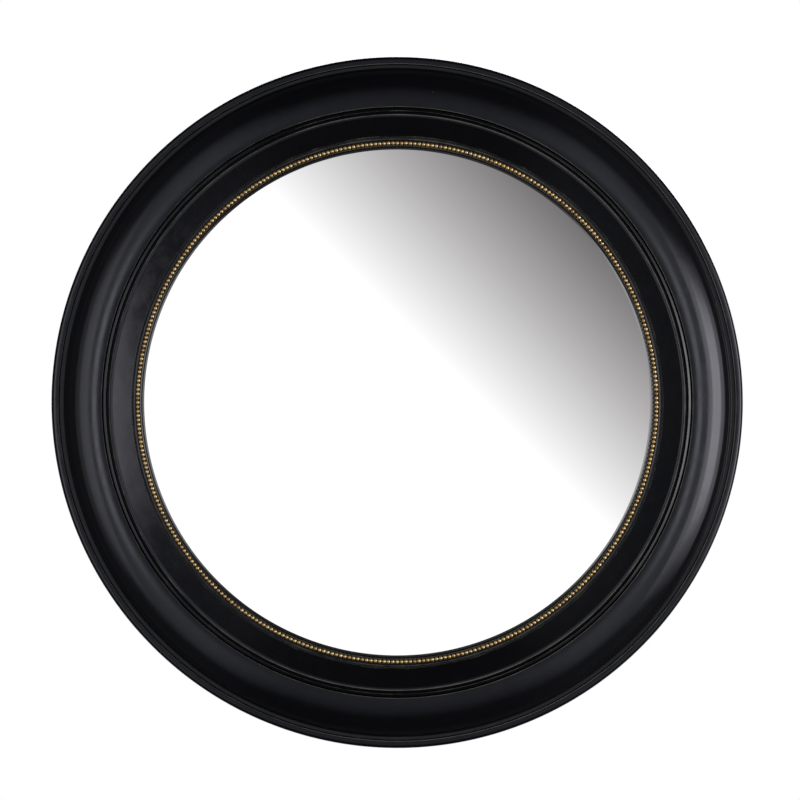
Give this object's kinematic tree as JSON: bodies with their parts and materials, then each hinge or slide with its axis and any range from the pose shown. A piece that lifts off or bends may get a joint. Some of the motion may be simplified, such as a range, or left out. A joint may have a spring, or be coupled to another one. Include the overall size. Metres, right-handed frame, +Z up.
{
  "type": "round wall mirror",
  "caption": "Round wall mirror in a turned black moulding with a swelling outer band, a hollow inner slope and a row of gold beads round flat glass.",
  "frame": {"origin": "centre of the mirror on the wall plane, where the back rim meets the wall", "axes": "+Z up, +X to the right as seen from the front, +Y into the wall; the mirror faces -Y"},
  "size_m": [0.7999, 0.0405, 0.8],
  "materials": {
    "black_lacquer": "satin lacquer",
    "gold_bead": "gilt, worn",
    "mirror": "polished",
    "fibreboard": "raw hardboard",
    "zinc_steel": "zinc plated"
  },
  "bodies": {
    "frame": {"outer_moulding": "black_lacquer", "inner_moulding": "black_lacquer", "bead_trim": "gold_bead", "mirror_glass": "mirror", "backing_board": "fibreboard", "turn_button_screws": "zinc_steel", "hanger_straps": "zinc_steel", "strap_screws": "zinc_steel"},
    "turn_button_1": {"turn_button_1": "zinc_steel"},
    "turn_button_2": {"turn_button_2": "zinc_steel"},
    "turn_button_3": {"turn_button_3": "zinc_steel"},
    "turn_button_4": {"turn_button_4": "zinc_steel"},
    "turn_button_5": {"turn_button_5": "zinc_steel"},
    "turn_button_6": {"turn_button_6": "zinc_steel"},
    "left_hanging_ring": {"left_hanging_ring": "zinc_steel"},
    "right_hanging_ring": {"right_hanging_ring": "zinc_steel"}
  },
  "joints": [
    {"name": "turn_button_1_pivot", "type": "hinge", "parent": "frame", "child": "turn_button_1", "pos_m": [0.3153, -0.008, 0], "axis": [0, 1, 0], "continuous": true},
    {"name": "turn_button_2_pivot", "type": "hinge", "parent": "frame", "child": "turn_button_2", "pos_m": [0.15765, -0.008, 0.27306], "axis": [0, 1, 0], "continuous": true},
    {"name": "turn_button_3_pivot", "type": "hinge", "parent": "frame", "child": "turn_button_3", "pos_m": [-0.15765, -0.008, 0.27306], "axis": [0, 1, 0], "continuous": true},
    {"name": "turn_button_4_pivot", "type": "hinge", "parent": "frame", "child": "turn_button_4", "pos_m": [-0.3153, -0.008, 0], "axis": [0, 1, 0], "continuous": true},
    {"name": "turn_button_5_pivot", "type": "hinge", "parent": "frame", "child": "turn_button_5", "pos_m": [-0.15765, -0.008, -0.27306], "axis": [0, 1, 0], "continuous": true},
    {"name": "turn_button_6_pivot", "type": "hinge", "parent": "frame", "child": "turn_button_6", "pos_m": [0.15765, -0.008, -0.27306], "axis": [0, 1, 0], "continuous": true},
    {"name": "left_hanging_ring_hinge", "type": "hinge", "parent": "frame", "child": "left_hanging_ring", "pos_m": [-0.26972, -0.00524, 0.19239], "axis": [-1, 0, 0], "range_deg": [0, 170]},
    {"name": "right_hanging_ring_hinge", "type": "hinge", "parent": "frame", "child": "right_hanging_ring", "pos_m": [0.26972, -0.00524, 0.19239], "axis": [-1, 0, 0], "range_deg": [0, 170]}
  ]
}
